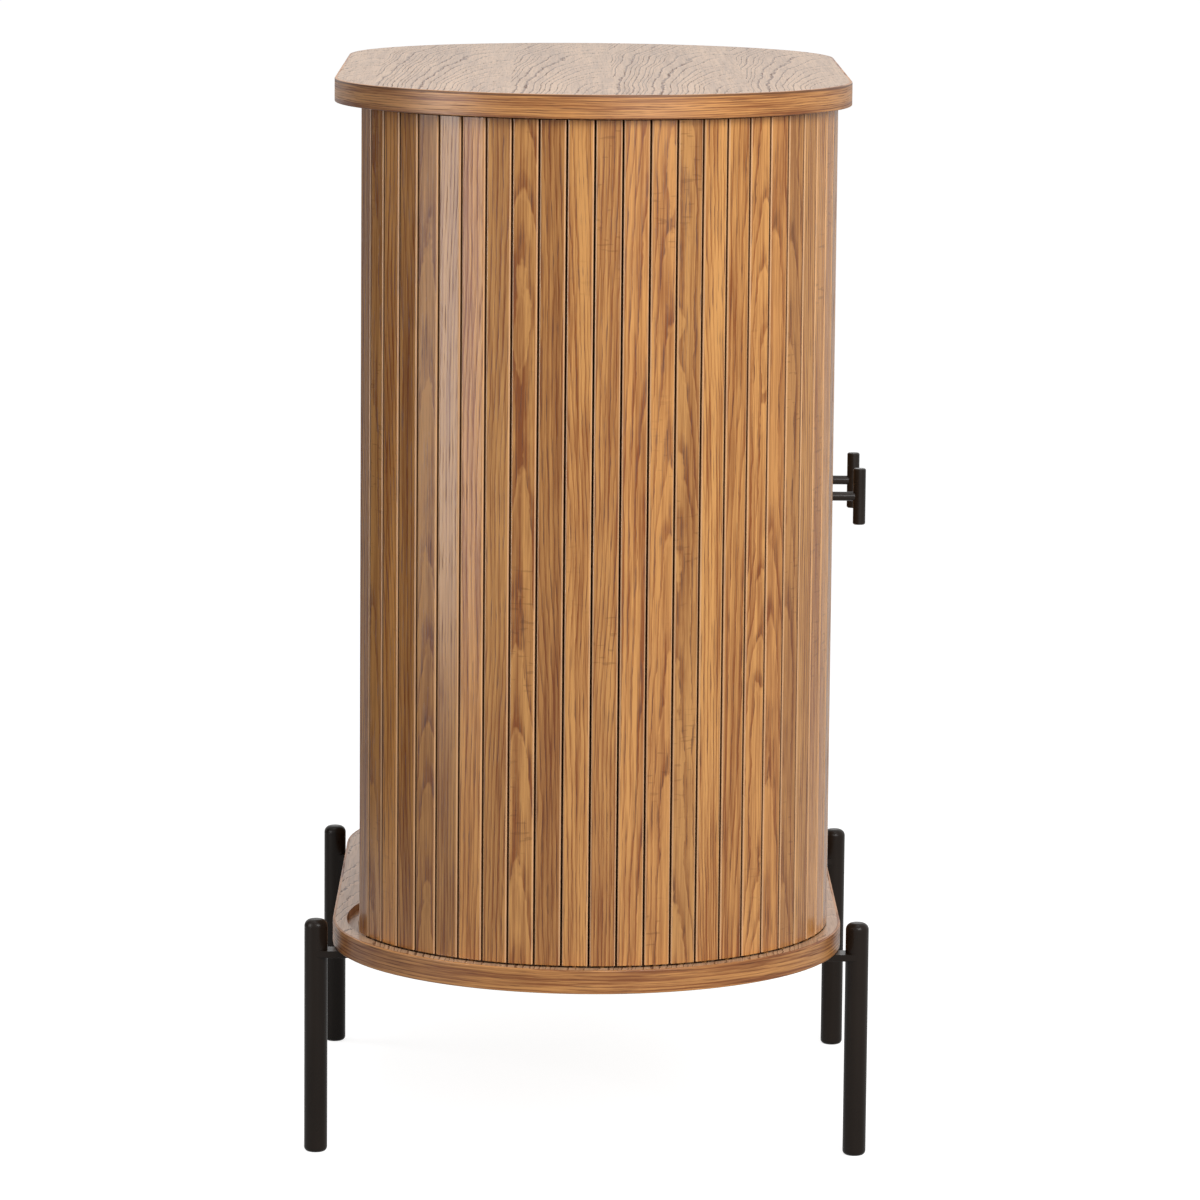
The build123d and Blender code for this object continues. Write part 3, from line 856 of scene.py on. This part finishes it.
class CABINET_OT_fasteners(Operator):
    """Finish the screws and shelf pins"""

    bl_idname = "cabinet.fasteners"
    bl_label = "Screws and pins"

    def execute(self, context):
        finish = context.scene.cabinet_steel
        screws = [f"{side}_{kind}" for side in SIDES for kind in ("bar_screws", "knob_screw")]
        screw_steel = metal_material("screw_steel", finish.screw, finish.screw_roughness)
        dress(screws + ["back_screws"], screw_steel)
        dress(["shelf_pins"], metal_material("pin_steel", finish.pin, finish.pin_roughness))
        return {"FINISHED"}


def white_to_the_eye(bench):
    """1 for rays from the camera, mirrors and glass, and 0 for the others."""
    path = bench.put("ShaderNodeLightPath").outputs
    seen = bench.math("MAXIMUM", path["Is Camera Ray"], path["Is Glossy Ray"])
    return bench.math("MAXIMUM", seen, path["Is Transmission Ray"])


def make_world(settings):
    """White surroundings that light the cabinet evenly."""
    world = bpy.data.worlds.new("studio")
    world.use_nodes = True
    bench = NodeBench(world.node_tree)
    world.node_tree.nodes.clear()
    seen = white_to_the_eye(bench)
    strength = bench.fade(seen, 0.0, 1.0, settings.sky_light, 1.0)
    background = bench.put("ShaderNodeBackground", {"Color": (1, 1, 1, 1), "Strength": strength})
    bench.put("ShaderNodeOutputWorld", {"Surface": background.outputs[0]})
    bpy.context.scene.world = world


def floor_material(settings):
    """White floor that keeps the shadow."""
    material = bpy.data.materials.new("studio_floor")
    material.use_nodes = True
    bench = NodeBench(material.node_tree)
    material.node_tree.nodes.clear()
    seen = white_to_the_eye(bench)
    direct = bench.put("ShaderNodeLightPath").outputs["Is Camera Ray"]
    shadow_depth, mirrored_glow, direct_glow = 0.5, 0.5, 0.87
    albedo = bench.fade(direct, 0.0, 1.0, settings.floor_bounce, shadow_depth)
    colour = bench.join(albedo, albedo, albedo)
    diffuse = bench.put("ShaderNodeBsdfDiffuse", {"Color": colour})
    strength = bench.fade(direct, 0.0, 1.0, mirrored_glow, direct_glow)
    glow = bench.put("ShaderNodeEmission", {"Strength": bench.math("MULTIPLY", seen, strength)})
    both = bench.put("ShaderNodeAddShader", {0: diffuse.outputs[0], 1: glow.outputs[0]})
    bench.put("ShaderNodeOutputMaterial", {"Surface": both.outputs[0]})
    return material


def link_object(name, data):
    """New object in the scene."""
    made = bpy.data.objects.new(name, data)
    bpy.context.scene.collection.objects.link(made)
    return made


def make_floor(settings):
    """Round floor that reaches past the horizon of the picture."""
    mesh = bpy.data.meshes.new("floor")
    shape = bmesh.new()
    bmesh.ops.create_circle(shape, cap_ends=True, segments=96, radius=60.0)
    shape.to_mesh(mesh)
    shape.free()
    mesh.materials.append(floor_material(settings))
    link_object("floor", mesh)


def make_lamp(name, place, target, size, power):
    """Area lamp of a width and height that looks at a point and isn't seen itself."""
    data = bpy.data.lights.new(name, "AREA")
    data.shape = "RECTANGLE"
    data.size, data.size_y = size
    data.energy = power
    lamp = link_object(name, data)
    lamp.location = place
    lamp.rotation_euler = (Vector(target) - Vector(place)).to_track_quat("-Z", "Y").to_euler()
    lamp.visible_camera = False
    return lamp


def make_flag(name, start, end, height):
    """Dark card that only shows as a reflection, to keep the shaded side of the lacquer deep."""
    mesh = bpy.data.meshes.new(name)
    shape = bmesh.new()
    edge = shape.edges.new([shape.verts.new(start), shape.verts.new(end)])
    raised = bmesh.ops.extrude_edge_only(shape, edges=[edge])["geom"]
    rising = [part for part in raised if isinstance(part, bmesh.types.BMVert)]
    bmesh.ops.translate(shape, verts=rising, vec=(0.0, 0.0, height))
    shape.to_mesh(mesh)
    shape.free()
    material = bpy.data.materials.new("studio_flag")
    material.use_nodes = True
    shader = material.node_tree.nodes["Principled BSDF"]
    shader.inputs["Base Color"].default_value = (0.02, 0.018, 0.016, 1.0)
    shader.inputs["Roughness"].default_value = 1.0
    mesh.materials.append(material)
    flag = link_object(name, mesh)
    for ray in ("camera", "diffuse", "transmission", "shadow"):
        setattr(flag, f"visible_{ray}", False)


def make_camera(settings):
    """Camera at the photograph's viewing angle."""
    data = bpy.data.cameras.new("camera")
    data.lens = settings.camera_lens
    data.sensor_width = 36.0
    data.clip_start = 0.1
    data.clip_end = 200.0
    camera = link_object("camera", data)
    pitch, yaw, roll = settings.camera_pitch, settings.camera_yaw, settings.camera_roll
    heading = Vector((math.cos(yaw), math.sin(yaw), 0.0))
    forward = math.cos(pitch) * heading - math.sin(pitch) * Vector((0.0, 0.0, 1.0))
    level = forward.cross(Vector((0, 0, 1))).normalized()
    upright = level.cross(forward)
    right = math.cos(roll) * level + math.sin(roll) * upright
    up = math.cos(roll) * upright - math.sin(roll) * level
    turned = Matrix((right, up, -forward)).transposed().to_4x4()
    camera.matrix_world = Matrix.Translation(Vector(settings.camera_place)) @ turned
    bpy.context.scene.camera = camera


class CABINET_OT_stage(Operator):
    """Build the floor, lamps, surroundings and camera"""

    bl_idname = "cabinet.stage"
    bl_label = "Studio and camera"

    def execute(self, context):
        settings = context.scene.cabinet_studio
        make_world(settings)
        make_floor(settings)
        end = Vector((-END_CENTRE, 0.0, 0.55))
        key_place = end + Vector((-2.46, -1.15, 1.27))
        top_place = end + Vector((0.0, 0.0, 2.6))
        strip_place = end + Vector((-0.72, 1.54, 0.15))
        fill_place = end + Vector((0.75, 2.0, 0.4))
        flag_start = end + Vector((-0.29, 1.67, -0.55))
        flag_end = end + Vector((1.02, 1.36, -0.55))
        make_lamp("key", key_place, end, (1.6, 1.6), settings.key_power)
        make_lamp("overhead", top_place, end, (1.8, 1.8), settings.top_power)
        strip = make_lamp("strip", strip_place, end, (0.7, 0.95), settings.strip_power)
        strip.visible_diffuse = False
        fill = make_lamp("fill", fill_place, end, (1.0, 1.0), settings.fill_power)
        fill.visible_glossy = False
        make_flag("left_flag", flag_start, flag_end, height=1.7)
        make_camera(settings)
        context.scene.view_settings.view_transform = "Standard"
        return {"FINISHED"}


STEPS = (
    CABINET_OT_slats,
    CABINET_OT_boards,
    CABINET_OT_edgings,
    CABINET_OT_inside,
    CABINET_OT_door_cloth,
    CABINET_OT_legs,
    CABINET_OT_knobs,
    CABINET_OT_fasteners,
    CABINET_OT_stage,
)

SETTINGS = {
    "cabinet_slats": SlatFinish,
    "cabinet_veneer": VeneerFinish,
    "cabinet_edging": EdgingFinish,
    "cabinet_panels": PanelFinish,
    "cabinet_steel": SteelFinish,
    "cabinet_cloth": ClothFinish,
    "cabinet_studio": StudioSettings,
}


class CABINET_PT_tools(Panel):
    """Lists the steps and their settings"""

    bl_idname = "CABINET_PT_tools"
    bl_label = "Tambour Cabinet"
    bl_space_type = "VIEW_3D"
    bl_region_type = "UI"
    bl_category = "Cabinet"

    def draw(self, context):
        for step in STEPS:
            self.layout.operator(step.bl_idname)
        for name, group in SETTINGS.items():
            box = self.layout.box()
            for key in group.__annotations__:
                box.prop(getattr(context.scene, name), key)


def register():
    """Registers the classes and hangs the settings on the scene."""
    for group in (*SETTINGS.values(), *STEPS, CABINET_PT_tools):
        bpy.utils.register_class(group)
    for name, group in SETTINGS.items():
        setattr(bpy.types.Scene, name, PointerProperty(type=group))


def unregister():
    """Takes the settings and classes away again."""
    for name in SETTINGS:
        delattr(bpy.types.Scene, name)
    for group in reversed((*SETTINGS.values(), *STEPS, CABINET_PT_tools)):
        bpy.utils.unregister_class(group)


def main():
    register()
    bpy.ops.cabinet.slats()
    bpy.ops.cabinet.boards()
    bpy.ops.cabinet.edgings()
    bpy.ops.cabinet.inside()
    bpy.ops.cabinet.door_cloth()
    bpy.ops.cabinet.legs()
    bpy.ops.cabinet.knobs()
    bpy.ops.cabinet.fasteners()
    bpy.ops.cabinet.stage()


if __name__ == "__main__":
    main()
